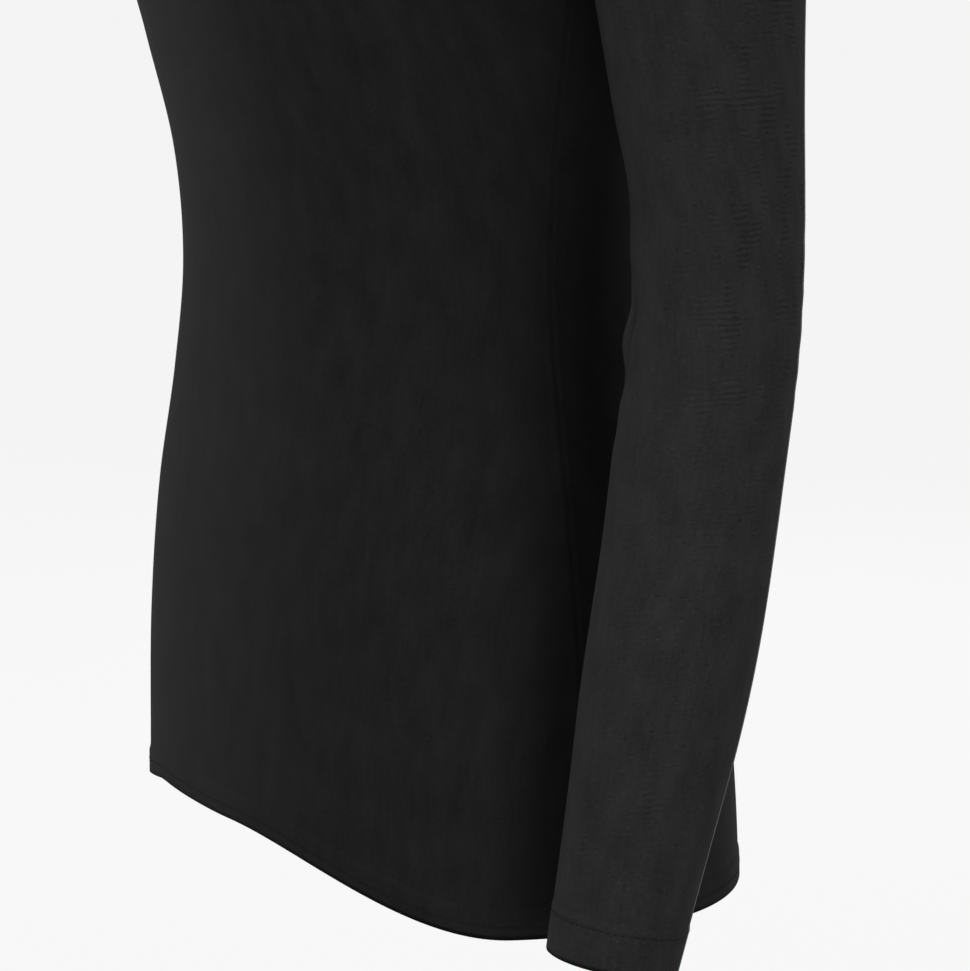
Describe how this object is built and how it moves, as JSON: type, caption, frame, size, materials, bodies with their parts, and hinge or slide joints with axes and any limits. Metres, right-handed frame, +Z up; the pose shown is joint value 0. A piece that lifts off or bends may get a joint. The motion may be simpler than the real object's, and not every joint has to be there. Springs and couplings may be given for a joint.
{
  "type": "base layer top",
  "caption": "Close-fitting long-sleeved base layer top of stretch jersey, standing in its worn form with open neck, cuffs and curved hem.",
  "frame": {"origin": "midway between the shoulders, about level with the sides of the neck, where the wearer's shoulders carry the top", "axes": "+Z up, the front faces -Y, the wearer's left is +X"},
  "size_m": [0.5192, 0.2532, 0.681],
  "materials": {
    "jersey": "matt fine stretch jersey, near black, brushed, with a soft sheen",
    "neckband_jersey": "the same jersey folded double"
  },
  "bodies": {
    "root": {"front": "jersey", "back": "jersey", "sleeve_left": "jersey", "sleeve_right": "jersey", "neckband": "neckband_jersey"}
  },
  "joints": []
}
